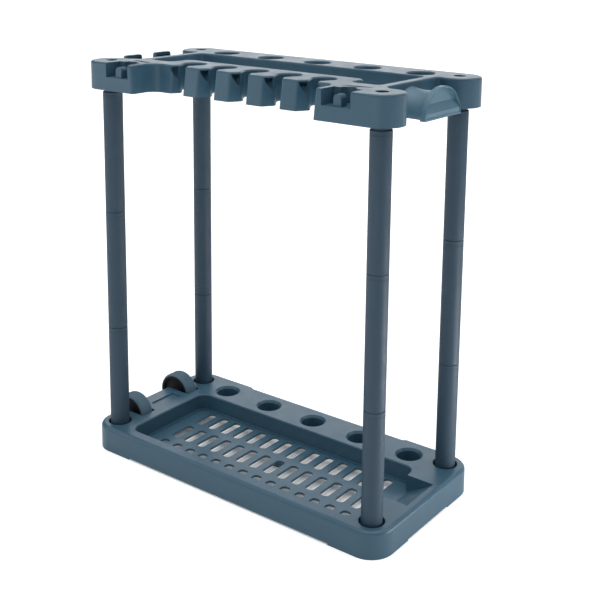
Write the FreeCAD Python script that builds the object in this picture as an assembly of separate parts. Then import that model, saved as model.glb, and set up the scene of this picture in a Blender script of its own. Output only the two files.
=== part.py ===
import FreeCAD, Part
import math
import os

# Freestanding garden tool rack: a basin base on two wheels, four posts of three
# plugged tubes each, and a top tray with a comb, a long opening and a hanger.
# Millimetres, +Z up, +X along the rack towards the hanger, -Y is the comb side.
# The plan is drawn about the middle of the base and moved to the middle of the
# whole object's box when a piece is saved.

V = FreeCAD.Vector

# Driving dimensions
LENGTH = 740.0
WIDTH = 350.0
HEIGHT = 840.0
WALL = 3.0
FIT = 0.3

# Posts: each stands this far in from both edges of the base
POST_INSET = 42.0
TUBE_R = 20.0
TUBE_WALL = 2.5
TUBE_LEVELS = ("lower", "middle", "upper")
TUBE_EDGE = 1.2
TUBE_BAND = 9.0
TUBE_BAND_GROOVE = 0.4
SPIGOT_WALL = 2.3
NECK_SHOW = 8.0

# Base tray
BASE_HEIGHT = 54.0
BASE_CORNER_R = 48.0
BASE_EDGE_R = 8.0
BACK_RECESS = 5.0
BACK_RECESS_END = 164.0
RECESS_OUT_R = 9.0
RECESS_IN_R = 4.0
FOOT_STEP = 3.0
FOOT_STEP_END = 110.0
FOOT_STEP_SIDE = 102.0

BASIN_LEFT_RIM = 91.0
BASIN_RIGHT_RIM = 79.0
BASIN_FRONT_RIM = 28.0
BASIN_BACK_RIM = 97.0
BASIN_CORNER_R = 22.0
BASIN_FLOOR = 20.0
BASIN_LEDGE = 6.0
BASIN_LEDGE_DROP = 1.5
BASIN_BEVEL = 2.0
RAMP_RIM = 18.0
RAMP_FRONT = -50.0
RAMP_BACK = 46.0
RAMP_FOOT = 6.0
RAMP_TOP_GAP = 2.0
NOTCH_SETBACK = 8.0
NOTCH_LENGTH = 16.0
NOTCH_WIDTH = 12.0
NOTCH_BOTTOM = 4.0

ROW_SHIFT = 5.0
SLOT_COLUMNS = 14
SLOT_END_RIM = 47.75
SLOT_WIDTH = 20.0
SLOT_CORNER_R = 8.0
FRONT_SLOT_LENGTH = 57.5
FRONT_SLOT_RIM = 6.0
FRONT_BAR = 17.0
BACK_BAR = 17.0
BACK_SLOT_RIM = 11.5
SLOT_SKIRT = 2.0
SLOT_SKIRT_BOTTOM = 13.5
RIB_THICK = 2.5

SEAT_WELL_R = 24.0
SEAT_WELL_DEPTH = 12.0
SEAT_WELL_BEVEL = 1.2
SEAT_FLOOR = 17.0

TOOL_COUNT = 5
TOOL_END = 82.0
TOOL_BACK = 55.0
SOCKET_R = 24.5
SOCKET_MOUTH_R = 28.5
SOCKET_CONE = 5.0
SOCKET_FLOOR = 8.0

# Wheels and axle
AXLE_BELOW_TOP = 10.0
WHEEL_WIDTH = 32.0
WHEEL_INSET = 21.0
WHEEL_RIM = 104.0
WHEEL_LIFT = 1.0
WHEEL_SIDE_GAP = 3.0
WHEEL_TREAD_GAP = 3.0
WHEEL_EDGE = 4.0
WHEEL_TYRE = 10.0
WHEEL_DISH_DEPTH = 5.0
HUB_R = 11.0
AXLE_R = 4.0
AXLE_RUN = 0.06
AXLE_SEAT_GAP = 0.15
AXLE_SNAP = 0.6
AXLE_CHAMFER = 0.6
CAP_R = 6.5
CAP_LENGTH = 5.0
CAP_END = 1.2
CAP_GAP = 0.3
CAP_BITE = 0.05
CAP_EDGE_R = 1.2
PANEL_DEPTH = 2.5
PANEL_OUTER_RIM = 35.0
PANEL_INNER_RIM = 4.0
PANEL_SIDE_RIM = 19.0
PANEL_CORNER_R = 2.0

# Top tray, measured from its own edges
TRAY_HEIGHT = 56.0
TRAY_EDGE_R = 4.0
TRAY_STRAIGHT = 6.0
PLAN_R = 6.0
TRAY_SOCKET_DEPTH = 20.0
BOSS_HOLE_R = 12.0
RAIL_WIDTH = 91.0
SIDE_SETBACK = 25.0
SIDE_WIDTH = 22.0
LEFT_BLOCK_LENGTH = 98.0
RIGHT_BLOCK_LENGTH = 110.0
SHOULDER_DROP = 8.0
COMB_SETBACK = 55.5
COMB_DEPTH = 99.5
END_TOOTH_SETBACK = 6.5
COMB_BLEND_R = 24.0
COMB_END = 168.0
MOUTH_HALF = 11.0
MOUTH_DEPTH = 18.5
LEAD_HALF = 22.5
FRONT_DRAFT = 6.0
LEAD_DRAFT = 1.0
MOUTH_DRAFT = 2.5
BLOCK_DRAFT = 5.0
CHAMBER_R = 23.0
CHAMBER_DEPTH = 51.5
SIDE_STEP = 4.0
NICHE_DEPTH = 50.0
NICHE_LENGTH = 60.0
OPENING_R = 10.0
RAIL_TIP_R = 18.0
WINDOW_TOP = 4.0
WINDOW_DEPTH = 25.0
WINDOW_INSET = 1.2
WINDOW_RUN = 17.5
WINDOW_BELLY = 2.5
THROAT_HALF = 20.7
THROAT_BACK = 9.9
RAIL_HOLE_R = 27.0
RAIL_SKIRT = 25.0
POCKET_FROM_POST = 62.0
POCKET_SHIFT = -4.0
POCKET_LENGTH = 61.0
POCKET_WIDTH = 37.0
POCKET_DEPTH = 28.5
PEG_WIDTH = 16.0
PEG_THICK = 17.0
PEG_SETBACK = 5.0
PEG_TOP_GAP = 7.0
LOOP_R = 16.0
TROUGH_FROM_POST = 66.0
TROUGH_SETBACK = 63.0
TROUGH_LENGTH = 66.0
TROUGH_WIDTH = 9.0
TROUGH_DEPTH = 10.0
TROUGH_TURN = 12.0
TRAY_RIB = 14.0

# Cord hooks at the wheel end
HOOK_Y = 43.0
HOOK_WIDTH = 46.0
HOOK_REACH = 63.0
HOOK_THICK = 8.0
HOOK_HEIGHT = 40.0
HOOK_TOP_R = 6.0
HOOK_ARM_WIDTH = 30.0
HOOK_ARM_THICK = 10.0

# Hanger
HANGER_REACH = 69.0
HANGER_DROP = 1.0
FLANGE_THICK = 12.0
CUP_RIM = 3.0
CUP_DEPTH = 9.0
CUP_LIP = 12.0
CUP_SLOPE_TOP = 29.0
FLANGE_HALF = 63.0
FLANGE_RISE = 56.0
FLANGE_EDGE_R = 2.5
BARREL_HALF = 52.0
BARREL_RISE = 49.0
WAIST_SHRINK = 4.0
HANGER_WALL = 3.5
HANGER_WEB = 31.0
TONGUE_HALF = 24.0
TONGUE_THICK = 3.0
TONGUE_LOW = 12.0
TONGUE_HIGH = 34.0
BARB_RISE = 1.5
BARB_LENGTH = 4.0

# Worked out from the values above
POST_X = LENGTH / 2 - POST_INSET
POST_Y = WIDTH / 2 - POST_INSET
TRAY_BOTTOM = HEIGHT - TRAY_HEIGHT
DECK_BELOW = BASE_HEIGHT - WALL
TUBE_BORE_R = TUBE_R - TUBE_WALL
TUBE_EXPOSED = (TRAY_BOTTOM - NECK_SHOW - SEAT_FLOOR) / len(TUBE_LEVELS)
SPIGOT_R = TUBE_BORE_R - FIT
SPIGOT_LENGTH = NECK_SHOW + TRAY_SOCKET_DEPTH
SEAT_R = TUBE_R + FIT
BASIN_LEFT = BASIN_LEFT_RIM - LENGTH / 2
BASIN_RIGHT = LENGTH / 2 - BASIN_RIGHT_RIM
BASIN_FRONT = BASIN_FRONT_RIM - WIDTH / 2
BASIN_BACK = WIDTH / 2 - BASIN_BACK_RIM
RAMP_START = BASIN_RIGHT + RAMP_FOOT
RAMP_END = LENGTH / 2 - RAMP_RIM
TOOL_Y = WIDTH / 2 - TOOL_BACK
TOOL_PITCH = (POST_X - TOOL_END) * 2 / (TOOL_COUNT - 1)
SLOT_PITCH_X = (BASIN_RIGHT - BASIN_LEFT - 2 * SLOT_END_RIM) / (SLOT_COLUMNS - 1)
SLOT_LENGTH = (BASIN_BACK - BASIN_FRONT - FRONT_SLOT_RIM - FRONT_SLOT_LENGTH - FRONT_BAR - BACK_BAR
               - BACK_SLOT_RIM) / 2
BACK_BAR_Y = BASIN_BACK - BACK_SLOT_RIM - SLOT_LENGTH - BACK_BAR / 2
FRONT_BAR_Y = BASIN_FRONT + FRONT_SLOT_RIM + FRONT_SLOT_LENGTH + FRONT_BAR / 2
WHEEL_X = WHEEL_INSET - LENGTH / 2
WHEEL_Y = WIDTH / 2 - WHEEL_RIM
WHEEL_Z = BASE_HEIGHT - AXLE_BELOW_TOP
WHEEL_R = WHEEL_Z - WHEEL_LIFT
WHEEL_DISH_R = WHEEL_R - WHEEL_TYRE
SLOT_HALF = WHEEL_WIDTH / 2 + WHEEL_SIDE_GAP
PANEL_HALF = WHEEL_Y - SLOT_HALF - PANEL_SIDE_RIM
BAY_END = WHEEL_X + WHEEL_R + WHEEL_TREAD_GAP
CAP_START = WHEEL_Y + SLOT_HALF + WALL + CAP_GAP
AXLE_HALF = CAP_START + CAP_LENGTH - CAP_END
TRAY_SOCKET_R = SPIGOT_R + FIT
BOSS_R = POST_INSET
BACK_RAIL_FRONT = WIDTH / 2 - RAIL_WIDTH
SIDE_OUTER = POST_X - SIDE_SETBACK
SIDE_INNER = SIDE_OUTER - SIDE_WIDTH
TOOTH_PITCH = (POST_X - COMB_END) * 2 / (TOOL_COUNT - 1)
COMB_FRONT = COMB_SETBACK - WIDTH / 2
COMB_BACK = COMB_FRONT + COMB_DEPTH
END_TOOTH_FRONT = COMB_FRONT + END_TOOTH_SETBACK
MOUTH_Y = COMB_FRONT + MOUTH_DEPTH
CHAMBER_Y = COMB_FRONT + CHAMBER_DEPTH
NICHE_FRONT = COMB_BACK - NICHE_DEPTH
NICHE_END = SIDE_INNER - NICHE_LENGTH
SHOULDER_Y = NICHE_FRONT - SHOULDER_DROP
SHOULDER_X = POST_X - SHOULDER_DROP
POCKET_BACK = POCKET_WIDTH - WIDTH / 2
TROUGH_X = POST_X - TROUGH_FROM_POST
TROUGH_Y = TROUGH_SETBACK - WIDTH / 2
HOOK_OUT = SIDE_OUTER + HOOK_REACH
HANGER_END = SIDE_OUTER + HANGER_REACH
HANGER_WEB_X = SIDE_OUTER + HANGER_WEB
BOX_SHIFT = -((WHEEL_X - WHEEL_R) + HANGER_END) / 2


def box(x0, x1, y0, y1, z0, z1):
    return Part.makeBox(x1 - x0, y1 - y0, z1 - z0, V(x0, y0, z0))


def upright(x, y, z0, z1, r):
    return Part.makeCylinder(r, z1 - z0, V(x, y, z0))


def join(first, *others):
    return first.multiFuse(list(others)).removeSplitter()


def rounded_face(x0, x1, y0, y1, r, z=0.0):
    """A flat rectangle with round corners at height z."""
    pts = [(x1 - r, y0), (x1, y0 + r), (x1, y1 - r), (x1 - r, y1),
           (x0 + r, y1), (x0, y1 - r), (x0, y0 + r), (x0 + r, y0)]
    centres = [(x1 - r, y0 + r), (x1 - r, y1 - r), (x0 + r, y1 - r), (x0 + r, y0 + r)]
    edges = []
    for i, (cx, cy) in enumerate(centres):
        a = pts[2 * i]
        b = pts[2 * i + 1]
        turn = math.radians(-45 + 90 * i)
        mid = V(cx + r * math.cos(turn), cy + r * math.sin(turn), z)
        edges.append(Part.Arc(V(a[0], a[1], z), mid, V(b[0], b[1], z)).toShape())
        c = pts[(2 * i + 2) % 8]
        edges.append(Part.LineSegment(V(b[0], b[1], z), V(c[0], c[1], z)).toShape())
    return Part.Face(Part.Wire(edges))


def rounded_box(x0, x1, y0, y1, z0, z1, r):
    return rounded_face(x0, x1, y0, y1, r, z0).extrude(V(0, 0, z1 - z0))


def slab(points):
    """A one millimetre slab with its top at z = 0, for building plans by boolean."""
    ring = [V(x, y, -1) for x, y in points]
    return Part.Face(Part.makePolygon(ring + ring[:1])).extrude(V(0, 0, 1))


def slab_box(xa, xb, ya, yb):
    return box(min(xa, xb), max(xa, xb), min(ya, yb), max(ya, yb), -1, 0)


def slab_disc(x, y, r):
    return upright(x, y, -1, 0, r)


def plan_of(solid):
    """The plan of a slab, as one flat face at z = 0 that looks up."""
    tops = [f for f in solid.Faces if f.BoundBox.ZMin > -1e-6]
    return max(tops, key=lambda f: f.Area)


def slab_under(face):
    return face.extrude(V(0, 0, -1))


def lifted(face, z0, z1):
    """A flat face at z = 0 made into an upright block from z0 to z1."""
    block = face.extrude(V(0, 0, z1 - z0))
    block.translate(V(0, 0, z0))
    return block


def offset(face, distance):
    """Grow a flat face by distance, or shrink it when that is negative."""
    grown = face.makeOffset2D(distance)
    return max(grown.Faces, key=lambda f: f.Area)


def soften(face, outside_r, inside_r):
    """Round a plan: outward corners to outside_r, inward corners to inside_r."""
    face = offset(face, -outside_r)
    face = offset(face, outside_r + inside_r)
    return offset(face, -inside_r)


def round_top(solid, z, r, inside=None):
    """Round the edges that lie at height z, where inside(edge) holds."""
    picked = [e for e in solid.Edges
              if abs(e.BoundBox.ZMin - z) < 1e-4 and abs(e.BoundBox.ZMax - z) < 1e-4
              and (inside is None or inside(e))]
    return solid.makeFillet(r, picked)


def save(name, *solids):
    shape = solids[0] if len(solids) == 1 else Part.makeCompound(list(solids))
    moved = shape.copy()
    moved.translate(V(BOX_SHIFT, 0, 0))
    moved.exportStep("parts/" + name + ".step")
    print(name, len(shape.Solids), round(shape.Volume / 1000, 1), "cm3", shape.isValid())


def post_places():
    for side, x in (("left", -POST_X), ("right", POST_X)):
        for end, y in (("front", -POST_Y), ("rear", POST_Y)):
            yield end + "_" + side, x, y


def tool_places():
    middle = (TOOL_COUNT - 1) / 2
    return [ROW_SHIFT + TOOL_PITCH * (i - middle) for i in range(TOOL_COUNT)]


def comb_places():
    middle = (TOOL_COUNT - 1) / 2
    return [TOOTH_PITCH * (i - middle) for i in range(TOOL_COUNT)]


def block_end(side, flare):
    """Where the front block on one side meets the comb."""
    length = RIGHT_BLOCK_LENGTH if side > 0 else LEFT_BLOCK_LENGTH
    return side * (POST_X - length - flare * BLOCK_DRAFT)


def pocket_middle(side):
    return side * (POST_X - POCKET_FROM_POST) + POCKET_SHIFT


# Base tray


def base_plan():
    """Outline of the base, with the shallow recess along the middle of its back."""
    whole = slab_under(rounded_face(-LENGTH / 2, LENGTH / 2, -WIDTH / 2, WIDTH / 2, BASE_CORNER_R))
    recess_x = LENGTH / 2 - BACK_RECESS_END
    recess = slab_box(-recess_x, recess_x, WIDTH / 2 - BACK_RECESS, WIDTH / 2 + 1)
    return soften(plan_of(whole.cut(recess)), RECESS_OUT_R, RECESS_IN_R)


def bridge_panel(grow):
    """The sunk panel of the deck between the two wheels, grown by grow for its walls."""
    half = PANEL_HALF + grow
    return rounded_box(PANEL_OUTER_RIM - LENGTH / 2 - grow, BAY_END - PANEL_INNER_RIM + grow, -half, half,
                       BASE_HEIGHT - PANEL_DEPTH - grow, BASE_HEIGHT + 1, PANEL_CORNER_R)


def basin_face(grow):
    """Outline of the basin at floor height, grown outwards by grow."""
    return rounded_face(BASIN_LEFT - grow, BASIN_RIGHT + grow,
                        BASIN_FRONT - grow, BASIN_BACK + grow, BASIN_CORNER_R + grow)


def ramp_solid(grow):
    """The sweep-out ramp from the basin floor up to the deck."""
    low = BASIN_FLOOR - grow
    high = BASE_HEIGHT - RAMP_TOP_GAP - grow
    start = BASIN_RIGHT - WALL - grow
    end = RAMP_END + grow
    y = RAMP_FRONT - grow
    profile = [V(start, y, low), V(RAMP_START, y, low), V(end, y, high), V(end, y, BASE_HEIGHT),
               V(start, y, BASE_HEIGHT)]
    face = Part.Face(Part.makePolygon(profile + profile[:1]))
    return face.extrude(V(0, RAMP_BACK - RAMP_FRONT + 2 * grow, 0))


def wheel_bay(side, grow, z0, z1):
    """The opening in the wheel end for one wheel, grown by grow for its walls."""
    y = side * WHEEL_Y
    return box(-LENGTH / 2 - 1, BAY_END + grow, y - SLOT_HALF - grow, y + SLOT_HALF + grow, z0, z1)


def slot_columns(grow, z0, z1):
    """The drain slots in three rows, each a round-ended prism made larger all round by grow."""
    rows = [(BACK_BAR_Y + (BACK_BAR + SLOT_LENGTH) / 2, SLOT_LENGTH),
            (BACK_BAR_Y - (BACK_BAR + SLOT_LENGTH) / 2, SLOT_LENGTH),
            (FRONT_BAR_Y - (FRONT_BAR + FRONT_SLOT_LENGTH) / 2, FRONT_SLOT_LENGTH)]
    slots = []
    for column in range(SLOT_COLUMNS):
        x = ROW_SHIFT + SLOT_PITCH_X * (column - (SLOT_COLUMNS - 1) / 2)
        for y, length in rows:
            half_x = SLOT_WIDTH / 2 + grow
            half_y = length / 2 + grow
            slots.append(rounded_box(x - half_x, x + half_x, y - half_y, y + half_y, z0, z1,
                                     SLOT_CORNER_R + grow))
    return slots


def drain_slots():
    return slot_columns(0, SLOT_SKIRT_BOTTOM - 1, BASIN_FLOOR + WALL)


def slot_skirts():
    """A short wall below the floor round each slot, which stiffens the slotted floor."""
    return slot_columns(SLOT_SKIRT, SLOT_SKIRT_BOTTOM, BASIN_FLOOR - WALL)


def centre_foot():
    half = (SLOT_PITCH_X - SLOT_WIDTH) / 2
    return box(ROW_SHIFT - half, ROW_SHIFT + half, BACK_BAR_Y - half, BACK_BAR_Y + half,
               0, BASIN_FLOOR - WALL)


def base_shell():
    """Deck and skirt with the basin, the ramp and the wheel bays let into it."""
    plan = base_plan()
    outer = round_top(plan.extrude(V(0, 0, BASE_HEIGHT)), BASE_HEIGHT, BASE_EDGE_R)
    hollow = offset(plan, -WALL).extrude(V(0, 0, DECK_BELOW))
    hollow = round_top(hollow, DECK_BELOW, BASE_EDGE_R - WALL)
    basin_wall = basin_face(WALL).extrude(V(0, 0, BASE_HEIGHT))
    basin_wall.translate(V(0, 0, BASIN_FLOOR - WALL))
    kept = [basin_wall, ramp_solid(WALL), bridge_panel(WALL)]
    kept += [wheel_bay(side, WALL, 0, BASE_HEIGHT) for side in (-1, 1)]
    for name, x, y in post_places():
        kept.append(upright(x, y, BASE_HEIGHT - SEAT_WELL_DEPTH - WALL, BASE_HEIGHT, SEAT_WELL_R + WALL))
        kept.append(upright(x, y, 0, BASE_HEIGHT, SEAT_R + WALL))
    for x in tool_places():
        kept.append(upright(x, TOOL_Y, SOCKET_FLOOR - WALL, BASE_HEIGHT, SOCKET_R + WALL))
        kept.append(upright(x, TOOL_Y, BASE_HEIGHT - SOCKET_CONE - WALL, BASE_HEIGHT, SOCKET_MOUTH_R + WALL))
    hollow = hollow.cut(kept)
    return outer.cut(hollow)


def base_cuts():
    """Everything taken out of the shell from above, from below and from the side."""
    basin = basin_face(0).extrude(V(0, 0, BASE_HEIGHT))
    basin.translate(V(0, 0, BASIN_FLOOR))
    sunk = rounded_box(BASIN_LEFT + BASIN_LEDGE, BASIN_RIGHT - BASIN_LEDGE, BASIN_FRONT + BASIN_LEDGE,
                       BASIN_BACK - BASIN_LEDGE, BASIN_FLOOR - BASIN_LEDGE_DROP, BASE_HEIGHT,
                       BASIN_CORNER_R - BASIN_LEDGE)
    low = Part.Wire(basin_face(0).OuterWire.Edges)
    low.translate(V(0, 0, BASE_HEIGHT - BASIN_BEVEL))
    high = Part.Wire(basin_face(BASIN_BEVEL).OuterWire.Edges)
    high.translate(V(0, 0, BASE_HEIGHT))
    cuts = [basin, sunk, ramp_solid(0), Part.makeLoft([low, high], True, True)] + drain_slots()
    notch_x = BASIN_RIGHT + NOTCH_SETBACK
    cuts.append(box(notch_x, notch_x + NOTCH_LENGTH, RAMP_FRONT, RAMP_FRONT + NOTCH_WIDTH,
                    NOTCH_BOTTOM, BASE_HEIGHT))
    for name, x, y in post_places():
        cuts.append(upright(x, y, BASE_HEIGHT - SEAT_WELL_DEPTH, BASE_HEIGHT + 1, SEAT_WELL_R))
        cuts.append(Part.makeCone(SEAT_WELL_R, SEAT_WELL_R + SEAT_WELL_BEVEL, SEAT_WELL_BEVEL,
                                  V(x, y, BASE_HEIGHT - SEAT_WELL_BEVEL)))
        cuts.append(upright(x, y, SEAT_FLOOR, BASE_HEIGHT, SEAT_R))
        cuts.append(upright(x, y, -1, SEAT_FLOOR - WALL, SEAT_R))
    for x in tool_places():
        cuts.append(upright(x, TOOL_Y, SOCKET_FLOOR, BASE_HEIGHT, SOCKET_R))
        cuts.append(Part.makeCone(SOCKET_R, SOCKET_MOUTH_R, SOCKET_CONE,
                                  V(x, TOOL_Y, BASE_HEIGHT - SOCKET_CONE)))
    for side in (-1, 1):
        cuts.append(wheel_bay(side, 0, -1, BASE_HEIGHT + 1))
    step_x = LENGTH / 2 - FOOT_STEP_END
    step_y = WIDTH / 2 - FOOT_STEP_SIDE
    cuts.append(box(-step_x, step_x, -WIDTH / 2 - 1, FOOT_STEP - WIDTH / 2, -1, FOOT_STEP))
    cuts.append(box(-step_x, step_x, WIDTH / 2 - BACK_RECESS - FOOT_STEP, WIDTH / 2 + 1, -1, FOOT_STEP))
    cuts.append(box(LENGTH / 2 - FOOT_STEP, LENGTH / 2 + 1, -step_y, step_y, -1, FOOT_STEP))
    cuts.append(bridge_panel(0))
    return cuts


def axle_saddles():
    """Snap-in seats for the axle: a round hole in each bay wall, open downwards."""
    seat_r = AXLE_R + AXLE_SEAT_GAP
    throat = AXLE_R - AXLE_SNAP
    cuts = []
    for side in (-1, 1):
        for wall_y in (WHEEL_Y - SLOT_HALF - WALL, WHEEL_Y + SLOT_HALF):
            y0 = min(side * wall_y, side * (wall_y + WALL)) - 0.5
            cuts.append(Part.makeCylinder(seat_r, WALL + 1, V(WHEEL_X, y0, WHEEL_Z), V(0, 1, 0)))
            cuts.append(box(WHEEL_X - throat, WHEEL_X + throat, y0, y0 + WALL + 1, -1, WHEEL_Z))
    return cuts


def base_tray():
    shell = join(base_shell(), centre_foot(), *slot_skirts())
    return shell.cut(base_cuts() + axle_saddles()).removeSplitter()


# Posts


def tube_section(x, y, z0):
    """One plastic tube with a narrower spigot on top that plugs into the next."""
    z1 = z0 + TUBE_EXPOSED
    top = z1 + SPIGOT_LENGTH
    neck_r = SPIGOT_R - SPIGOT_WALL
    band = z1 - TUBE_BAND
    groove = TUBE_BAND_GROOVE
    profile = [V(TUBE_BORE_R, 0, z0), V(TUBE_R - TUBE_EDGE, 0, z0), V(TUBE_R, 0, z0 + TUBE_EDGE),
               V(TUBE_R, 0, band - groove), V(TUBE_R - groove, 0, band), V(TUBE_R, 0, band + groove),
               V(TUBE_R, 0, z1 - TUBE_EDGE), V(TUBE_R - TUBE_EDGE, 0, z1), V(SPIGOT_R, 0, z1),
               V(SPIGOT_R, 0, top - TUBE_EDGE), V(SPIGOT_R - TUBE_EDGE, 0, top), V(neck_r, 0, top),
               V(neck_r, 0, z1 - TUBE_WALL), V(TUBE_BORE_R, 0, z1 - 2 * TUBE_WALL)]
    face = Part.Face(Part.makePolygon(profile + profile[:1]))
    tube = face.revolve(V(0, 0, 0), V(0, 0, 1), 360)
    tube.translate(V(x, y, 0))
    return tube


# Top tray


# The comb's front walls lean out towards the bottom. A plan of the tray is drawn for
# flare 0 at the top and for flare 1 at the bottom, and the walls span the two.


def comb_gap(x, flare):
    """One tool gap: a round chamber behind a narrow mouth with a wide lead-in."""
    front = COMB_FRONT - flare * FRONT_DRAFT
    mouth = MOUTH_HALF - flare * MOUTH_DRAFT
    lead = LEAD_HALF - flare * LEAD_DRAFT
    beyond = front - (MOUTH_Y - front)
    spread = 2 * lead - mouth
    throat = slab([(x - THROAT_HALF, CHAMBER_Y - THROAT_BACK), (x - mouth, MOUTH_Y), (x - spread, beyond),
                   (x + spread, beyond), (x + mouth, MOUTH_Y), (x + THROAT_HALF, CHAMBER_Y - THROAT_BACK)])
    return throat.fuse(slab_disc(x, CHAMBER_Y, CHAMBER_R))


def comb_blend(side, flare):
    """The hollow curve between a front block and the end of the comb."""
    x = block_end(side, flare)
    front = END_TOOTH_FRONT - flare * FRONT_DRAFT
    corner = slab_box(x, x - side * COMB_BLEND_R, front, front - COMB_BLEND_R)
    bite = slab_disc(x - side * COMB_BLEND_R, front - COMB_BLEND_R, COMB_BLEND_R)
    return corner.cut(bite)


def tray_outline(flare):
    """Plan of the whole tray with its comb gaps, before the long opening is cut."""
    end_x = comb_places()[-1] + MOUTH_HALF
    front = COMB_FRONT - flare * FRONT_DRAFT
    end_front = END_TOOTH_FRONT - flare * FRONT_DRAFT
    pieces = [slab_box(-end_x, end_x, front, BACK_RAIL_FRONT + 1),
              slab_box(-SIDE_OUTER, SIDE_OUTER, end_front, BACK_RAIL_FRONT + 1),
              slab_box(-POST_X, POST_X, POST_Y, WIDTH / 2),
              slab_box(-SIDE_OUTER, SIDE_OUTER, BACK_RAIL_FRONT, WIDTH / 2)]
    for side in (-1, 1):
        x = block_end(side, flare)
        pieces.append(slab_box(x, side * SIDE_OUTER, -WIDTH / 2, end_front + 1))
        pieces.append(slab_box(x, side * POST_X, -WIDTH / 2, -POST_Y))
        pieces.append(slab([(side * SIDE_OUTER, SHOULDER_Y), (side * SHOULDER_X, -POST_Y + BOSS_R),
                            (side * POST_X, -POST_Y), (side * (SIDE_OUTER - 1), -POST_Y),
                            (side * (SIDE_OUTER - 1), SHOULDER_Y)]))
        pieces.append(comb_blend(side, flare))
    pieces += [slab_disc(x, y, BOSS_R) for name, x, y in post_places()]
    whole = pieces[0].multiFuse(pieces[1:]).removeSplitter()
    whole = whole.cut([comb_gap(x, flare) for x in comb_places()])
    return soften(plan_of(whole), PLAN_R, PLAN_R)


def leaning_block(top_plan, bottom_plan, z0, z1):
    """The solid between two plans with the same corners, without their inner holes."""
    wires = []
    for plan, z in ((bottom_plan, z0), (top_plan, z1)):
        wire = Part.Wire(plan.OuterWire.OrderedEdges)
        wire.translate(V(0, 0, z))
        wires.append(wire)
    return Part.makeLoft(wires, True, True)


def long_opening():
    """Plan of the opening between the comb and the back rail, wider at both ends."""
    middle = slab_box(-SIDE_INNER, SIDE_INNER, COMB_BACK, BACK_RAIL_FRONT)
    niches = [slab_box(s * NICHE_END, s * SIDE_INNER, NICHE_FRONT, BACK_RAIL_FRONT) for s in (-1, 1)]
    return soften(plan_of(middle.multiFuse(niches).removeSplitter()), OPENING_R, RAIL_TIP_R)


def pocket_shape(side, grow):
    """The front pocket of one corner block with the half-round behind its peg."""
    x = pocket_middle(side)
    half = POCKET_LENGTH / 2 + grow
    floor = HEIGHT - POCKET_DEPTH - grow
    room = box(x - half, x + half, -WIDTH / 2 - 1, POCKET_BACK + grow, floor, HEIGHT + 1)
    return room.fuse(upright(x, POCKET_BACK, floor, HEIGHT + 1, LOOP_R + grow))


def peg(side):
    """The stub in a front pocket that a loop hangs on, with a rounded top."""
    x = pocket_middle(side)
    y0 = -WIDTH / 2 + PEG_SETBACK
    top = HEIGHT - PEG_TOP_GAP
    r = PEG_WIDTH / 2
    foot = box(x - r, x + r, y0, y0 + PEG_THICK, HEIGHT - POCKET_DEPTH - WALL, top - r)
    head = Part.makeCylinder(r, PEG_THICK, V(x, y0, top - r), V(0, 1, 0))
    return foot.fuse(head)


def trough(side, grow, z0, z1):
    """A lens-shaped slot in the top of a corner block, for the blade of a hand tool."""
    half = TROUGH_LENGTH / 2 + grow
    belly = TROUGH_WIDTH / 2 + grow
    r = (half * half + belly * belly) / (2 * belly)
    lens = upright(0, r - belly, z0, z1, r).common(upright(0, belly - r, z0, z1, r))
    lens.rotate(V(0, 0, 0), V(0, 0, 1), side * TROUGH_TURN)
    lens.translate(V(side * TROUGH_X, TROUGH_Y, 0))
    return lens


def tooth_windows():
    """Three-cornered openings in the slanted walls beside each comb mouth."""
    windows = []
    high = HEIGHT - WINDOW_TOP
    for x in comb_places():
        for side in (-1, 1):
            along = V(side * (LEAD_HALF - MOUTH_HALF), COMB_FRONT - MOUTH_Y, 0).normalize()
            mouth = V(x + side * MOUTH_HALF, MOUTH_Y, high) + along * WINDOW_INSET
            front = mouth + along * WINDOW_RUN
            low = mouth - V(0, 0, WINDOW_DEPTH)
            belly = (front + low) / 2 + (along - V(0, 0, 1)).normalize() * WINDOW_BELLY
            wire = Part.Wire([Part.LineSegment(front, mouth).toShape(),
                              Part.LineSegment(mouth, low).toShape(),
                              Part.Arc(low, belly, front).toShape()])
            reach = V(-along.y, along.x, 0) * WALL * 1.5
            wire.translate(-reach)
            windows.append(Part.Face(wire).extrude(reach * 2))
    return windows


def post_socket(x, y):
    """A socket hanging under the tray that a post's top spigot plugs into."""
    seat_z = TRAY_BOTTOM + TRAY_SOCKET_DEPTH
    sleeve = upright(x, y, TRAY_BOTTOM, seat_z + WALL, TRAY_SOCKET_R + WALL)
    neck = upright(x, y, seat_z, HEIGHT - WALL / 2, BOSS_HOLE_R + WALL)
    return sleeve.fuse(neck)


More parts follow.
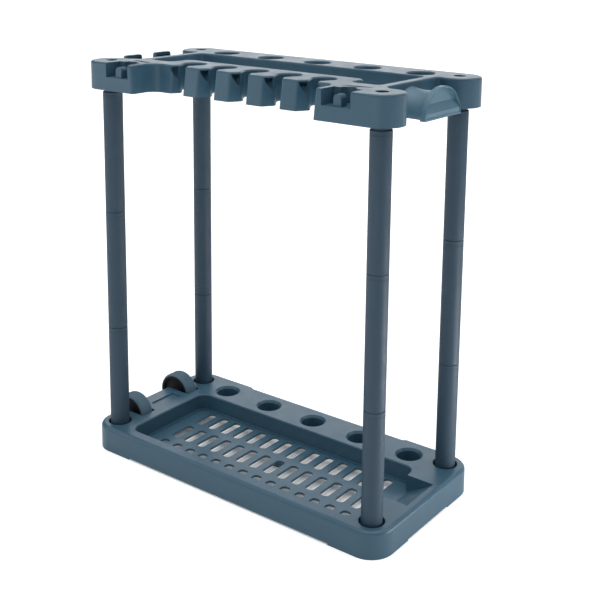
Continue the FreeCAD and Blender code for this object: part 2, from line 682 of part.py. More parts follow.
def cord_hook(side):
    """A hook plate on an arm at the wheel end, hollow at the back and from below."""
    y = side * HOOK_Y
    z0 = HEIGHT - HOOK_HEIGHT
    inset = HOOK_WIDTH / 2 - HOOK_TOP_R
    shoulder = HEIGHT - HOOK_TOP_R
    half = HOOK_WIDTH / 2
    lower = box(-HOOK_OUT, -HOOK_OUT + HOOK_THICK, y - half, y + half, z0, shoulder)
    upper = box(-HOOK_OUT, -HOOK_OUT + HOOK_THICK, y - inset, y + inset, z0, HEIGHT)
    corners = [Part.makeCylinder(HOOK_TOP_R, HOOK_THICK, V(-HOOK_OUT, y + s * inset, shoulder),
                                 V(1, 0, 0)) for s in (-1, 1)]
    plate = join(lower, upper, *corners)
    back = box(-HOOK_OUT + WALL, -HOOK_OUT + HOOK_THICK + 1, y - half + WALL, y + half - WALL,
               z0 + HOOK_ARM_THICK, HEIGHT - HOOK_TOP_R)
    arm = box(-HOOK_OUT + WALL, -SIDE_OUTER + WALL / 2, y - HOOK_ARM_WIDTH / 2, y + HOOK_ARM_WIDTH / 2,
              z0, z0 + HOOK_ARM_THICK)
    under = box(-HOOK_OUT + HOOK_THICK, -SIDE_OUTER, y - HOOK_ARM_WIDTH / 2 + WALL,
                y + HOOK_ARM_WIDTH / 2 - WALL, z0 - 1, z0 + HOOK_ARM_THICK - WALL)
    return plate.cut(back).fuse(arm).cut(under)


def tray_ribs(hollow):
    """Stiffening ribs below the top, across the back rail and along each tooth."""
    top = HEIGHT - WALL
    ribs = []
    for x in tool_places()[:-1]:
        middle = x + TOOL_PITCH / 2
        ribs.append(box(middle - RIB_THICK / 2, middle + RIB_THICK / 2, BACK_RAIL_FRONT, WIDTH / 2,
                        top - TRAY_RIB, top))
    for x in comb_places()[:-1]:
        middle = x + TOOTH_PITCH / 2
        ribs.append(box(middle - RIB_THICK / 2, middle + RIB_THICK / 2, COMB_FRONT, COMB_BACK,
                        top - TRAY_RIB, top))
    for side in (-1, 1):
        middle = side * (SIDE_INNER + SIDE_OUTER) / 2
        ribs.append(box(middle - SIDE_OUTER + SIDE_INNER, middle + SIDE_OUTER - SIDE_INNER,
                        BACK_RAIL_FRONT - RIB_THICK, BACK_RAIL_FRONT, top - TRAY_RIB, top))
    return [rib.common(hollow) for rib in ribs]


def hanger_window():
    """The hole in the end wall that the hanger's tongues snap through."""
    return box(SIDE_OUTER - WALL - 1, SIDE_OUTER + 1, -TONGUE_HALF - FIT, TONGUE_HALF + FIT,
               TRAY_BOTTOM + TONGUE_LOW - FIT, TRAY_BOTTOM + TONGUE_HIGH + FIT)


def top_tray():
    holes = [slab_disc(x, TOOL_Y, RAIL_HOLE_R) for x in tool_places()]
    top_plan = tray_outline(0)
    bottom_plan = tray_outline(1)
    opening = long_opening()
    pierced = plan_of(slab_under(top_plan).cut([slab_under(opening)] + holes))
    lip_z = HEIGHT - TRAY_STRAIGHT
    lip = round_top(pierced.extrude(V(0, 0, TRAY_STRAIGHT)), TRAY_STRAIGHT, TRAY_EDGE_R)
    lip.translate(V(0, 0, lip_z))
    shafts = [upright(x, TOOL_Y, TRAY_BOTTOM, HEIGHT, RAIL_HOLE_R) for x in tool_places()]
    shafts.append(lifted(opening, TRAY_BOTTOM, HEIGHT))
    walls = leaning_block(top_plan, bottom_plan, TRAY_BOTTOM, lip_z).cut(shafts)
    outer = walls.fuse(lip)
    inner_top = offset(top_plan, -WALL)
    hollow = leaning_block(inner_top, offset(bottom_plan, -WALL), TRAY_BOTTOM, lip_z)
    hollow = hollow.fuse(lifted(inner_top, lip_z, HEIGHT - WALL))
    hollow = hollow.cut(lifted(offset(opening, WALL), TRAY_BOTTOM, HEIGHT))
    kept = [post_socket(x, y) for name, x, y in post_places()] + tray_ribs(hollow)
    kept += [pocket_shape(side, WALL) for side in (-1, 1)]
    kept += [trough(side, WALL, HEIGHT - TROUGH_DEPTH, HEIGHT) for side in (-1, 1)]
    kept += [upright(x, TOOL_Y, HEIGHT - RAIL_SKIRT, HEIGHT, RAIL_HOLE_R + WALL) for x in tool_places()]
    shell = outer.cut(hollow.cut(kept))
    cuts = [pocket_shape(side, 0) for side in (-1, 1)]
    cuts += [trough(side, 0, HEIGHT - TROUGH_DEPTH - 1, HEIGHT + 1) for side in (-1, 1)]
    cuts += tooth_windows() + [hanger_window()]
    cuts += [upright(x, CHAMBER_Y, TRAY_BOTTOM - 1, TRAY_BOTTOM + SIDE_STEP, CHAMBER_R + WALL)
             for x in comb_places()]
    for name, x, y in post_places():
        cuts.append(upright(x, y, TRAY_BOTTOM - 1, TRAY_BOTTOM + TRAY_SOCKET_DEPTH, TRAY_SOCKET_R))
        cuts.append(upright(x, y, TRAY_BOTTOM, HEIGHT + 1, BOSS_HOLE_R))
    extras = [peg(side) for side in (-1, 1)] + [cord_hook(side) for side in (-1, 1)]
    return shell.cut(cuts).multiFuse(extras)


# Hanger


def arch_wire(x, half, rise, z0):
    """A closed half-ellipse standing at x on the level z0."""
    curve = Part.Ellipse(V(x, half, z0), V(x, 0, z0 + rise), V(x, 0, z0))
    arc = Part.Arc(curve, 0, math.pi).toShape()
    ends = [v.Point for v in arc.Vertexes]
    return Part.Wire([arc, Part.LineSegment(ends[-1], ends[0]).toShape()])


def saddle(x0, x1, half, rise, waist, z0):
    """A loft along X that is slightly narrower and lower half way."""
    middle = (x0 + x1) / 2
    wires = [arch_wire(x0, half, rise, z0), arch_wire(middle, half - waist, rise - waist, z0),
             arch_wire(x1, half, rise, z0)]
    return Part.makeLoft(wires, True)


def hanger_tongue(z0, z1, barb_up):
    """A flat spring tongue with a barb that catches behind the tray's end wall."""
    tip = SIDE_OUTER - WALL - FIT - BARB_LENGTH
    flat = box(tip, HANGER_WEB_X + 1, -TONGUE_HALF, TONGUE_HALF, z0, z1)
    edge = z1 if barb_up else z0
    rise = BARB_RISE if barb_up else -BARB_RISE
    barb = [V(tip, -TONGUE_HALF, edge), V(tip + BARB_LENGTH, -TONGUE_HALF, edge),
            V(tip + BARB_LENGTH, -TONGUE_HALF, edge + rise), V(tip, -TONGUE_HALF, edge)]
    return flat.fuse(Part.Face(Part.makePolygon(barb)).extrude(V(0, 2 * TONGUE_HALF, 0)))


def hose_hanger():
    z0 = TRAY_BOTTOM - HANGER_DROP
    flange_x = HANGER_END - FLANGE_THICK
    barrel = saddle(SIDE_OUTER, flange_x, BARREL_HALF, BARREL_RISE, WAIST_SHRINK, z0)
    flange = Part.Face(arch_wire(flange_x, FLANGE_HALF, FLANGE_RISE, z0)).extrude(V(FLANGE_THICK, 0, 0))
    rims = [e for e in flange.Edges if e.BoundBox.XLength < 1e-4 and e.BoundBox.ZLength > 1]
    flange = flange.makeFillet(FLANGE_EDGE_R, rims)
    body = barrel.fuse(flange)
    half = BARREL_HALF - WAIST_SHRINK - HANGER_WALL
    rise = BARREL_RISE - WAIST_SHRINK - 2 * HANGER_WALL
    rear = Part.Face(arch_wire(SIDE_OUTER - 1, half, rise, z0 + HANGER_WALL))
    middle = Part.Face(arch_wire(HANGER_WEB_X + HANGER_WALL, half, rise + HANGER_WALL, z0))
    cup = Part.Face(arch_wire(HANGER_END - CUP_DEPTH, FLANGE_HALF - CUP_RIM, FLANGE_RISE - 2 * CUP_RIM,
                              z0 + CUP_RIM)).extrude(V(CUP_DEPTH + 1, 0, 0))
    body = body.cut([rear.extrude(V(HANGER_WEB_X - SIDE_OUTER + 1, 0, 0)),
                     middle.extrude(V(flange_x - HANGER_WEB_X - HANGER_WALL, 0, 0)), cup])
    back = HANGER_END - CUP_DEPTH - 1
    front = HANGER_END - FLANGE_EDGE_R / 2
    slope = [V(back, -FLANGE_HALF, z0), V(front, -FLANGE_HALF, z0), V(front, -FLANGE_HALF, z0 + CUP_LIP),
             V(back, -FLANGE_HALF, z0 + CUP_SLOPE_TOP)]
    scoop = Part.Face(Part.makePolygon(slope + slope[:1])).extrude(V(0, 2 * FLANGE_HALF, 0)).common(cup)
    body = body.fuse(scoop)
    low = TRAY_BOTTOM + TONGUE_LOW
    high = TRAY_BOTTOM + TONGUE_HIGH
    return join(body, hanger_tongue(low, low + TONGUE_THICK, False),
                hanger_tongue(high - TONGUE_THICK, high, True))


# Wheels and axle


def wheel(y):
    """One wheel: a broad tread, a dished disc and a hub bored for the axle."""
    half = WHEEL_WIDTH / 2
    bore = AXLE_R + AXLE_RUN
    dish = half - WHEEL_DISH_DEPTH
    profile = [V(bore, -half, 0), V(HUB_R, -half, 0), V(HUB_R + WHEEL_DISH_DEPTH / 3, -dish, 0),
               V(WHEEL_DISH_R - WHEEL_DISH_DEPTH / 3, -dish, 0), V(WHEEL_DISH_R, -half, 0),
               V(WHEEL_R - WHEEL_EDGE, -half, 0), V(WHEEL_R, -half + WHEEL_EDGE, 0),
               V(WHEEL_R, half - WHEEL_EDGE, 0), V(WHEEL_R - WHEEL_EDGE, half, 0), V(WHEEL_DISH_R, half, 0),
               V(WHEEL_DISH_R - WHEEL_DISH_DEPTH / 3, dish, 0), V(HUB_R + WHEEL_DISH_DEPTH / 3, dish, 0),
               V(HUB_R, half, 0), V(bore, half, 0)]
    face = Part.Face(Part.makePolygon(profile + profile[:1]))
    turned = face.revolve(V(0, 0, 0), V(0, 1, 0), 360)
    turned.translate(V(WHEEL_X, y, WHEEL_Z))
    return turned


def axle():
    rod = Part.makeCylinder(AXLE_R, 2 * AXLE_HALF, V(WHEEL_X, -AXLE_HALF, WHEEL_Z), V(0, 1, 0))
    return rod.makeChamfer(AXLE_CHAMFER, [e for e in rod.Edges if e.BoundBox.YLength < 1e-4])


def axle_cap(side):
    """A push-on cap that keeps the axle in its seats."""
    start = side * CAP_START
    out = V(0, side, 0)
    cap = Part.makeCylinder(CAP_R, CAP_LENGTH, V(WHEEL_X, start, WHEEL_Z), out)
    rim = [e for e in cap.Edges if abs(e.BoundBox.YMin - start - side * CAP_LENGTH) < 1e-4]
    cap = cap.makeFillet(CAP_EDGE_R, rim)
    bore = Part.makeCylinder(AXLE_R - CAP_BITE, CAP_LENGTH - CAP_END, V(WHEEL_X, start, WHEEL_Z), out)
    return cap.cut(bore)


if __name__ == "__main__":
    os.makedirs("parts", exist_ok=True)
    save("base_tray", base_tray())
    for name, x, y in post_places():
        for i, level in enumerate(TUBE_LEVELS):
            save(name + "_" + level + "_tube", tube_section(x, y, SEAT_FLOOR + i * TUBE_EXPOSED))
    save("top_tray", top_tray())
    save("hose_hanger", hose_hanger())
    save("front_wheel", wheel(-WHEEL_Y))
    save("rear_wheel", wheel(WHEEL_Y))
    save("axle", axle())
    save("front_axle_cap", axle_cap(-1))
    save("rear_axle_cap", axle_cap(1))
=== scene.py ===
# %% [markdown]
# # Freestanding garden tool rack
#
# The rack is a knock-down plastic frame: a basin base with drain slots, four posts
# plugged together from tubes, and a top tray with a comb, handle holes and hooks.
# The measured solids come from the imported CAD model, and this lesson dresses them:
# it gives every moulded part its finish, makes the ribbed wheels, and sets up the
# camera, the floor and the light.

# %% Load the measured frame
import math

import bmesh
import bpy
from mathutils import Matrix, Vector


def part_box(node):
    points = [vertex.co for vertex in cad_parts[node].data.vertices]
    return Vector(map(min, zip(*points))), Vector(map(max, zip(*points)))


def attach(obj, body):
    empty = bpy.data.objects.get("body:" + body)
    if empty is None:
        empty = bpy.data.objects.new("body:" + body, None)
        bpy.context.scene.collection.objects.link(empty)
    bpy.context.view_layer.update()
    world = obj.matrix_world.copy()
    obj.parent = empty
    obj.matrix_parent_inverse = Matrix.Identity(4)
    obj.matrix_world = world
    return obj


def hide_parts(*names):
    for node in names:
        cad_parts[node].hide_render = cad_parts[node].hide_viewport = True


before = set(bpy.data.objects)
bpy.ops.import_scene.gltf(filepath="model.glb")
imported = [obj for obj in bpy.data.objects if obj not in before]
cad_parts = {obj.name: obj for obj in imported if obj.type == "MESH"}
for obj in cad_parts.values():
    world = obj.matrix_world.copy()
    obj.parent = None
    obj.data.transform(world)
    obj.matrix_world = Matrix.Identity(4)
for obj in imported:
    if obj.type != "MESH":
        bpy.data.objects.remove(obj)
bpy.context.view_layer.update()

# %% [markdown]
# ## Camera
#
# The picture looks down on the rack from its front right corner. The place, turn and
# lens below come from matching the posts and the holes of the tray with the picture.
# The lens is shifted down, because the middle of the picture lies below the lens's
# own axis.

# %% Camera
CAMERA_PLACE = (1.28477, -1.59677, 1.09636)
CAMERA_TURN = 35.975
CAMERA_DOWN = 10.573
CAMERA_ROLL = 0.842
CAMERA_LENS = 62.967
CAMERA_SHIFT = (-0.0429, -0.282)


def turn(degrees, axis):
    return Matrix.Rotation(math.radians(degrees), 4, axis)


camera = bpy.data.objects.new("camera", bpy.data.cameras.new("camera"))
bpy.context.scene.collection.objects.link(camera)
camera.data.sensor_width = 36.0
camera.data.lens = CAMERA_LENS
camera.data.shift_x, camera.data.shift_y = CAMERA_SHIFT
camera.data.clip_end = 200.0
camera.matrix_world = (Matrix.Translation(CAMERA_PLACE) @ turn(CAMERA_TURN, "Z")
                       @ turn(90.0 - CAMERA_DOWN, "X") @ turn(CAMERA_ROLL, "Z"))
bpy.context.scene.camera = camera
print("camera at", CAMERA_PLACE)

# %% [markdown]
# ## Shader helpers
#
# Every finish below is a small graph of nodes. One helper adds a node and sets its
# inputs, and another starts a node group with named inputs and outputs, so that an
# effect that several plastics share is built once.


# %% Helpers for shader nodes
def add_node(tree, kind, inputs=None, **settings):
    """Add one node. An input's value is a number or colour, or another node's output."""
    made = tree.nodes.new(kind)
    for name, value in settings.items():
        setattr(made, name, value)
    for name, value in (inputs or {}).items():
        if isinstance(value, bpy.types.NodeSocket):
            tree.links.new(value, made.inputs[name])
        else:
            made.inputs[name].default_value = value
    return made


def start_group(name, inputs, outputs):
    """A shader node group. inputs and outputs give (name, socket type, start value)."""
    tree = bpy.data.node_groups.new(name, "ShaderNodeTree")
    for label, kind, value in inputs:
        socket = tree.interface.new_socket(label, in_out="INPUT", socket_type=kind)
        socket.default_value = value
    for label, kind in outputs:
        tree.interface.new_socket(label, in_out="OUTPUT", socket_type=kind)
    return tree, tree.nodes.new("NodeGroupInput"), tree.nodes.new("NodeGroupOutput")


def maths(tree, operation, first, second, clamp=False):
    """One sum of two values. Each is a number or another node's output."""
    made = add_node(tree, "ShaderNodeMath", operation=operation, use_clamp=clamp)
    for socket, value in zip(made.inputs, (first, second)):
        if isinstance(value, bpy.types.NodeSocket):
            tree.links.new(value, socket)
        else:
            socket.default_value = value
    return made.outputs[0]


def remap(tree, value, low, high, to_low=0.0, to_high=1.0):
    """Stretch a value from the range low to high over the range to_low to to_high."""
    made = add_node(tree, "ShaderNodeMapRange", {
        "Value": value, "From Min": low, "From Max": high, "To Min": to_low, "To Max": to_high})
    return made.outputs["Result"]


def noise(tree, place, scale, detail=2.0, roughness=0.5):
    made = add_node(tree, "ShaderNodeTexNoise", {
        "Vector": place, "Scale": scale, "Detail": detail, "Roughness": roughness})
    return made.outputs["Fac"]


def blend(tree, factor, first, second):
    """The first colour where factor is 0 and the second where it is 1."""
    made = add_node(tree, "ShaderNodeMix", data_type="RGBA")
    for socket, value in zip((made.inputs[0], made.inputs[6], made.inputs[7]), (factor, first, second)):
        if isinstance(value, bpy.types.NodeSocket):
            tree.links.new(value, socket)
        else:
            socket.default_value = value
    return made.outputs[2]


# %% [markdown]
# ## Skin of moulded plastic
#
# Injection-moulded polypropylene isn't one flat colour. The pigment flows with the
# melt and leaves broad, faint clouds, and the mould's eroded steel prints a fine
# satin grain that spreads the highlights. The group gives the mottled colour, a
# roughness that wanders with the flow, and the grain's height for a bump.

# %% Node group: moulded skin
def moulded_skin():
    tree, given, result = start_group(
        "moulded skin",
        [("Colour", "NodeSocketColor", (0.1, 0.15, 0.2, 1.0)), ("Cloud", "NodeSocketFloat", 0.12),
         ("Roughness", "NodeSocketFloat", 0.4), ("Grain", "NodeSocketFloat", 1.0)],
        [("Colour", "NodeSocketColor"), ("Roughness", "NodeSocketFloat"), ("Height", "NodeSocketFloat")])
    place = add_node(tree, "ShaderNodeTexCoord").outputs["Object"]
    cloud = noise(tree, place, 11.0, detail=3.0, roughness=0.55)
    fleck = noise(tree, place, 420.0)
    spread = maths(tree, "MULTIPLY", maths(tree, "SUBTRACT", cloud, 0.5), given.outputs["Cloud"])
    speck = maths(tree, "MULTIPLY", maths(tree, "SUBTRACT", fleck, 0.5), 0.10)
    lift = maths(tree, "ADD", maths(tree, "ADD", spread, speck), 1.0)
    shade = add_node(tree, "ShaderNodeHueSaturation", {"Value": lift, "Color": given.outputs["Colour"]})
    streak = noise(tree, place, 35.0, detail=4.0, roughness=0.6)
    rough = maths(tree, "ADD", given.outputs["Roughness"], remap(tree, streak, 0.3, 0.7, -0.05, 0.05))
    fine = noise(tree, place, 1400.0, detail=1.0)
    grain = maths(tree, "MULTIPLY", maths(tree, "ADD", fine, maths(tree, "MULTIPLY", fleck, 0.6)),
                  given.outputs["Grain"])
    tree.links.new(shade.outputs["Color"], result.inputs["Colour"])
    tree.links.new(rough, result.inputs["Roughness"])
    tree.links.new(grain, result.inputs["Height"])
    return tree


MOULDED_SKIN = moulded_skin()
print("group:", MOULDED_SKIN.name)

# %% [markdown]
# ## Dust and handling marks
#
# A rack that lives in a shed gathers pale dust on what faces up, and its corners and
# walls carry faint rubbed streaks from tools. The group reads which way a surface
# looks and breaks the mask up with noise, so the dust lies in patches.


# %% Node group: dust and rubbing
def dust_and_rub():
    tree, given, result = start_group(
        "dust and rub",
        [("Dust", "NodeSocketFloat", 0.3), ("Rub", "NodeSocketFloat", 0.2)],
        [("Dust", "NodeSocketFloat"), ("Rub", "NodeSocketFloat")])
    texture = add_node(tree, "ShaderNodeTexCoord")
    up = add_node(tree, "ShaderNodeSeparateXYZ", {"Vector": texture.outputs["Normal"]}).outputs["Z"]
    facing = remap(tree, up, 0.35, 0.95)
    uneven = noise(tree, texture.outputs["Object"], 26.0, detail=5.0, roughness=0.6)
    patches = remap(tree, uneven, 0.35, 0.75)
    settled = maths(tree, "MULTIPLY", facing, patches)
    dust = maths(tree, "MULTIPLY", settled, given.outputs["Dust"], clamp=True)
    stretched = add_node(tree, "ShaderNodeMapping", {
        "Vector": texture.outputs["Object"], "Scale": (60.0, 60.0, 9.0), "Rotation": (0.35, 0.2, 0.0)})
    scratches = noise(tree, stretched.outputs["Vector"], 3.0, detail=4.0, roughness=0.7)
    streaks = remap(tree, scratches, 0.60, 0.74)
    rub = maths(tree, "MULTIPLY", streaks, given.outputs["Rub"], clamp=True)
    tree.links.new(dust, result.inputs["Dust"])
    tree.links.new(rub, result.inputs["Rub"])
    return tree


DUST_AND_RUB = dust_and_rub()
print("group:", DUST_AND_RUB.name)

# %% [markdown]
# ## The plastics
#
# All plastics share one recipe and differ in their numbers: the base and the tray are
# a slate blue with a satin skin, the tubes are darker and a little duller, the hanger
# is paler, the wheels' treads are grey, and their faces and the caps are nearly black.

# %% Plastic finishes
DUST_COLOUR = (0.20, 0.29, 0.36, 1.0)
GRAIN_BUMP = 0.05
GRAIN_HEIGHT = 0.0004


def plastic(name, colour, roughness, cloud=0.14, dust=0.06, rub=0.15, gloss=0.5):
    """One moulded plastic. gloss is the Principled shader's own specular level."""
    material = bpy.data.materials.new(name)
    material.use_nodes = True
    tree = material.node_tree
    shader = tree.nodes["Principled BSDF"]
    shader.inputs["Specular IOR Level"].default_value = gloss
    skin = add_node(tree, "ShaderNodeGroup", node_tree=MOULDED_SKIN)
    for label, value in (("Colour", colour + (1.0,)), ("Cloud", cloud), ("Roughness", roughness)):
        skin.inputs[label].default_value = value
    marks = add_node(tree, "ShaderNodeGroup", node_tree=DUST_AND_RUB)
    marks.inputs["Dust"].default_value = dust
    marks.inputs["Rub"].default_value = rub
    rubbed_colour = tuple(1.7 * c + 0.02 for c in colour) + (1.0,)
    rubbed = blend(tree, marks.outputs["Rub"], skin.outputs["Colour"], rubbed_colour)
    dusty = blend(tree, marks.outputs["Dust"], rubbed, DUST_COLOUR)
    duller = maths(tree, "MULTIPLY", marks.outputs["Dust"], 0.35)
    rough = maths(tree, "ADD", skin.outputs["Roughness"], duller, clamp=True)
    tree.links.new(dusty, shader.inputs["Base Color"])
    tree.links.new(rough, shader.inputs["Roughness"])
    relief = add_node(tree, "ShaderNodeBump", {
        "Height": skin.outputs["Height"], "Strength": GRAIN_BUMP, "Distance": GRAIN_HEIGHT})
    tree.links.new(relief.outputs["Normal"], shader.inputs["Normal"])
    return material


BODY = plastic("slate blue moulded plastic", (0.045, 0.114, 0.172), 0.37)
TUBE = plastic("dark extruded tube", (0.029, 0.067, 0.106), 0.52, cloud=0.10, dust=0.03, rub=0.08)
HANGER = plastic("pale blue moulded plastic", (0.112, 0.222, 0.300), 0.37)
TREAD = plastic("grey wheel plastic", (0.088, 0.165, 0.230), 0.50, cloud=0.25, dust=0.10, rub=0.25)
CAP = plastic("black push-on cap", (0.012, 0.013, 0.015), 0.38, dust=0.1)
print("plastics:", ", ".join(m.name for m in (BODY, TUBE, HANGER, TREAD, CAP)))

# %% [markdown]
# ## Galvanised axle
#
# The rod through the wheels is drawn steel with a thin zinc coat: metallic, fairly
# rough, with fine rings round it from the drawing die and dull spots where the zinc
# has gone chalky. A noise stretched thin along the rod gives the rings.


# %% Axle finish
def zinc():
    material = bpy.data.materials.new("galvanised steel")
    material.use_nodes = True
    tree = material.node_tree
    shader = tree.nodes["Principled BSDF"]
    shader.inputs["Metallic"].default_value = 1.0
    place = add_node(tree, "ShaderNodeTexCoord").outputs["Object"]
    rings = add_node(tree, "ShaderNodeMapping", {"Vector": place, "Scale": (20.0, 900.0, 20.0)})
    drawn = noise(tree, rings.outputs["Vector"], 1.0)
    blotches = noise(tree, place, 120.0, detail=4.0, roughness=0.6)
    chalk = remap(tree, blotches, 0.5, 0.7)
    colour = blend(tree, chalk, (0.46, 0.47, 0.48, 1.0), (0.30, 0.31, 0.32, 1.0))
    tree.links.new(colour, shader.inputs["Base Color"])
    tree.links.new(remap(tree, chalk, 0.0, 1.0, 0.30, 0.62), shader.inputs["Roughness"])
    relief = add_node(tree, "ShaderNodeBump", {"Height": drawn, "Strength": 0.15, "Distance": 0.0003})
    tree.links.new(relief.outputs["Normal"], shader.inputs["Normal"])
    return material


ZINC = zinc()

# %% [markdown]
# ## Give the solids their finish
#
# The measured solids already have the right shapes, so they stay and get their
# finishes by assignment. Each node's name says which plastic it is made of.


# %% Assign the finishes
def finish_of(name):
    if name.endswith("tube"):
        return TUBE
    if name.endswith("wheel"):
        return TREAD
    if name.endswith("cap"):
        return CAP
    return {"hose_hanger": HANGER, "axle": ZINC}.get(name, BODY)


for name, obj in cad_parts.items():
    for slot in obj.material_slots:
        slot.material = finish_of(name)
print("finishes given to", len(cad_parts), "nodes")

# %% [markdown]
# ## Wheels with a ribbed tread
#
# The wheel is one moulding: a broad tread, a dished face and a hub. Turning a
# profile about the axle gives the body, much as the mould's cavity would be turned on
# a lathe. The fine ribs across the tread follow a rule, so a Geometry Nodes tree sets
# one small rib on every point of a circle.

# %% Wheel sizes in metres, the first two read from the measured wheel
wheel_low, wheel_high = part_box("front_wheel")
WHEEL_R = (wheel_high[2] - wheel_low[2]) / 2
WHEEL_HALF = (wheel_high[1] - wheel_low[1]) / 2
print("wheel radius", round(WHEEL_R, 4), "half width", round(WHEEL_HALF, 4))

WHEEL_BORE = 0.0041
HUB_R = 0.011
DISH_R = 0.033
DISH_DEPTH = 0.005
BEVEL = 0.001
EDGE_R = 0.004
EDGE_STEPS = 6
TURN_STEPS = 96
RIB_RISE = 0.0007
RIB_WIDTH = 0.0012
RIB_COUNT = 96
TREAD_R = WHEEL_R - RIB_RISE * 0.6


# %% Geometry Nodes tree for the ribs
def tread_ribs():
    tree = bpy.data.node_groups.new("tread ribs", "GeometryNodeTree")
    for label, kind, value in (("Count", "NodeSocketInt", 90), ("Radius", "NodeSocketFloat", 0.04),
                               ("Length", "NodeSocketFloat", 0.02), ("Width", "NodeSocketFloat", 0.001),
                               ("Rise", "NodeSocketFloat", 0.001)):
        tree.interface.new_socket(label, in_out="INPUT", socket_type=kind).default_value = value
    tree.interface.new_socket("Material", in_out="INPUT", socket_type="NodeSocketMaterial")
    tree.interface.new_socket("Geometry", in_out="OUTPUT", socket_type="NodeSocketGeometry")
    given = tree.nodes.new("NodeGroupInput")
    result = tree.nodes.new("NodeGroupOutput")
    ring = add_node(tree, "GeometryNodeMeshCircle", {
        "Vertices": given.outputs["Count"], "Radius": given.outputs["Radius"]}, fill_type="NONE")
    size = add_node(tree, "ShaderNodeCombineXYZ", {
        "X": given.outputs["Rise"], "Y": given.outputs["Width"], "Z": given.outputs["Length"]})
    bar = add_node(tree, "GeometryNodeMeshCube", {"Size": size.outputs["Vector"]})
    place = add_node(tree, "GeometryNodeInputPosition")
    aim = add_node(tree, "FunctionNodeAlignRotationToVector", {"Vector": place.outputs["Position"]}, axis="X")
    spread = add_node(tree, "GeometryNodeInstanceOnPoints", {
        "Points": ring.outputs["Mesh"], "Instance": bar.outputs["Mesh"], "Rotation": aim.outputs["Rotation"]})
    real = add_node(tree, "GeometryNodeRealizeInstances", {"Geometry": spread.outputs["Instances"]})
    coated = add_node(tree, "GeometryNodeSetMaterial", {
        "Geometry": real.outputs["Geometry"], "Material": given.outputs["Material"]})
    tree.links.new(coated.outputs["Geometry"], result.inputs["Geometry"])
    return tree


def run_tree(tree, name, values):
    """Evaluate a Geometry Nodes tree once and return its result as a plain mesh."""
    carrier = bpy.data.objects.new(name, bpy.data.meshes.new(name))
    bpy.context.scene.collection.objects.link(carrier)
    modifier = carrier.modifiers.new(name, "NODES")
    modifier.node_group = tree
    for item in tree.interface.items_tree:
        if item.in_out == "INPUT" and item.name in values:
            modifier[item.identifier] = values[item.name]
    ready = carrier.evaluated_get(bpy.context.evaluated_depsgraph_get())
    mesh = bpy.data.meshes.new_from_object(ready)
    bpy.data.objects.remove(carrier)
    return mesh


RIBS = tread_ribs()
rib_mesh = run_tree(RIBS, "ribs", {
    "Count": RIB_COUNT, "Radius": WHEEL_R - RIB_RISE, "Rise": 2 * RIB_RISE, "Width": RIB_WIDTH,
    "Length": 2 * (WHEEL_HALF - EDGE_R), "Material": TREAD})
print("rib faces:", len(rib_mesh.polygons))


# %% Turn the wheel's profile
def turned_mesh(name, profile, steps, materials, band_of):
    """Turn a closed (radius, height) profile about Z. band_of gives a face's material."""
    shape = bmesh.new()
    rings = []
    for step in range(steps):
        a = 2 * math.pi * step / steps
        rings.append([shape.verts.new((r * math.cos(a), r * math.sin(a), z)) for r, z in profile])
    for step in range(steps):
        here = rings[step]
        after = rings[(step + 1) % steps]
        for i in range(len(profile)):
            j = (i + 1) % len(profile)
            face = shape.faces.new((here[i], after[i], after[j], here[j]))
            face.material_index = band_of(i)
            face.smooth = True
    bmesh.ops.recalc_face_normals(shape, faces=shape.faces)
    mesh = bpy.data.meshes.new(name)
    shape.to_mesh(mesh)
    shape.free()
    for material in materials:
        mesh.materials.append(material)
    return mesh


def arc_points(cx, cz, r, start, end, steps):
    """Points along an arc of radius r round (cx, cz). Angles are in degrees."""
    turns = [math.radians(start + (end - start) * i / steps) for i in range(steps + 1)]
    return [(cx + r * math.cos(t), cz + r * math.sin(t)) for t in turns]


DISH_FLOOR = WHEEL_HALF - DISH_DEPTH
DISH_ROUND = DISH_FLOOR + 0.6 * BEVEL
half_profile = [(WHEEL_BORE, WHEEL_HALF), (HUB_R - BEVEL, WHEEL_HALF), (HUB_R, WHEEL_HALF - BEVEL),
                (HUB_R + BEVEL, DISH_ROUND), (HUB_R + 2 * BEVEL, DISH_FLOOR),
                (DISH_R - 2 * BEVEL, DISH_FLOOR), (DISH_R - BEVEL, DISH_ROUND),
                (DISH_R, WHEEL_HALF - BEVEL), (DISH_R + BEVEL, WHEEL_HALF)]
FACE_BANDS = len(half_profile)    # bands on one face, from the bore to the tread's edge
half_profile += arc_points(TREAD_R - EDGE_R, WHEEL_HALF - EDGE_R, EDGE_R, 90.0, 0.0, EDGE_STEPS)
profile = half_profile + [(r, -z) for r, z in reversed(half_profile)]
WHEEL_DARK = plastic("near-black wheel face", (0.005, 0.006, 0.009), 0.6, dust=0.0, rub=0.05, gloss=0.20)


def wheel_band(i):
    """The flat faces are dark and the tread band between the two edges is grey."""
    return 1 if FACE_BANDS <= i < len(profile) - FACE_BANDS - 1 else 0


# %% Place one ribbed wheel on each side
def ribbed_wheel(node_name, body):
    low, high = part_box(node_name)
    middle = (Vector(low) + Vector(high)) / 2
    mesh = turned_mesh("ribbed_" + node_name, profile, TURN_STEPS, (WHEEL_DARK, TREAD), wheel_band)
    shape = bmesh.new()
    shape.from_mesh(mesh)
    turned_faces = len(shape.faces)
    shape.from_mesh(rib_mesh)
    shape.faces.ensure_lookup_table()
    for face in shape.faces[turned_faces:]:
        face.material_index = 1
    shape.transform(Matrix.Translation(middle) @ turn(90.0, "X"))
    shape.to_mesh(mesh)
    shape.free()
    wheel = bpy.data.objects.new("ribbed_" + node_name, mesh)
    bpy.context.scene.collection.objects.link(wheel)
    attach(wheel, body)
    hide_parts(node_name)
    print(wheel.name, "faces:", len(mesh.polygons))


ribbed_wheel("front_wheel", "front_wheel")
ribbed_wheel("rear_wheel", "rear_wheel")

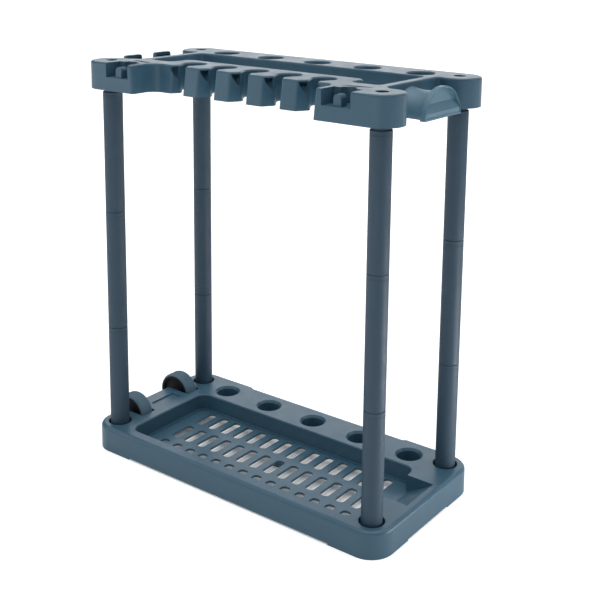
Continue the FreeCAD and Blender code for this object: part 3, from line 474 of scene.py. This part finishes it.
# %% [markdown]
# ## Floor and light
#
# The rack stands on a plain white floor in a studio. A dome that is brightest overhead
# lights the tops, and a wide panel behind gives the grazing sheen on the tray. Weaker
# panels in front and at the left and right keep the upright faces slate blue, and a
# small one low at the right lights the end of the base, which is paler in the picture.
# The floor glows faintly in every direction, a painted glow that lights the rack from
# below, and more strongly towards the camera, so that it is white to the horizon. The
# glow fades where the rack covers the floor, which paints the rack's shadow there.


# %% Floor
def pale_floor():
    """A white floor with a painted glow. Where the rack shades it, the glow towards the camera fades into a
    painted shadow.
    """
    half = 60.0
    mesh = bpy.data.meshes.new("floor")
    mesh.from_pydata([(-half, -half, 0.0), (half, -half, 0.0), (half, half, 0.0), (-half, half, 0.0)],
                     [], [(0, 1, 2, 3)])
    floor = bpy.data.objects.new("floor", mesh)
    bpy.context.scene.collection.objects.link(floor)
    material = bpy.data.materials.new("white studio floor")
    material.use_nodes = True
    tree = material.node_tree
    shader = tree.nodes["Principled BSDF"]
    shader.inputs["Roughness"].default_value = 0.9
    shader.inputs["Specular IOR Level"].default_value = 0.1
    place = add_node(tree, "ShaderNodeTexCoord").outputs["Object"]
    shade = remap(tree, noise(tree, place, 2.0, detail=3.0), 0.3, 0.7, 0.86, 0.90)
    tree.links.new(shade, shader.inputs["Base Color"])
    shader.inputs["Emission Color"].default_value = (1.0, 1.0, 1.0, 1.0)
    # Painted glow: faint for every ray, stronger towards the camera, and dimmed where the rack shades the
    # floor, a painted shadow.
    seen = add_node(tree, "ShaderNodeLightPath").outputs["Is Camera Ray"]
    open_sky = add_node(tree, "ShaderNodeAmbientOcclusion", {"Distance": 0.05}, samples=8).outputs["AO"]
    glow_in_camera = remap(tree, open_sky, 0.30, 0.55, 0.05, 0.55)
    glow = remap(tree, seen, 0.0, 1.0, 0.12, glow_in_camera)
    tree.links.new(glow, shader.inputs["Emission Strength"])
    mesh.materials.append(material)


pale_floor()


# %% Soft light
def soft_panel(name, place, aim, width, height, power):
    """A rectangular light at place that faces aim. Sizes in metres, power in watts."""
    light = bpy.data.lights.new(name, "AREA")
    light.shape = "RECTANGLE"
    light.size = width
    light.size_y = height
    light.energy = power
    panel = bpy.data.objects.new(name, light)
    bpy.context.scene.collection.objects.link(panel)
    direction = Vector(aim) - Vector(place)
    facing = direction.to_track_quat("-Z", "Y").to_matrix().to_4x4()
    panel.matrix_world = Matrix.Translation(place) @ facing


soft_panel("back panel", (-1.6, 3.4, 1.5), (0.0, 0.0, 0.6), 5.0, 1.6, 46.0)
soft_panel("right panel", (2.3, 1.5, 2.0), (0.0, 0.0, 0.4), 1.4, 1.4, 10.0)
soft_panel("low right panel", (1.10, 0.35, 0.05), (0.37, 0.0, 0.03), 0.5, 0.09, 3.2)
soft_panel("front panel", (0.5, -3.6, 1.0), (0.0, 0.0, 0.4), 2.4, 1.6, 12.0)
soft_panel("left panel", (-2.4, -2.0, 1.3), (0.0, 0.0, 0.4), 1.6, 1.6, 13.0)


def studio_dome(high, gather):
    """A dome that rises from dark at the horizon to high overhead, and is white in the picture."""
    world = bpy.data.worlds.new("studio")
    world.use_nodes = True
    tree = world.node_tree
    background = tree.nodes["Background"]
    background.inputs["Color"].default_value = (0.97, 0.99, 1.0, 1.0)
    aim = add_node(tree, "ShaderNodeTexCoord").outputs["Generated"]
    up = add_node(tree, "ShaderNodeSeparateXYZ", {"Vector": aim}).outputs["Z"]
    rise = maths(tree, "POWER", maths(tree, "MAXIMUM", up, 0.0), gather)
    seen = add_node(tree, "ShaderNodeLightPath").outputs["Is Camera Ray"]
    strength = maths(tree, "MAXIMUM", maths(tree, "MULTIPLY", rise, high), seen)
    tree.links.new(strength, background.inputs["Strength"])
    bpy.context.scene.world = world


studio_dome(2.4, 4.0)
bpy.context.scene.view_settings.view_transform = "Standard"
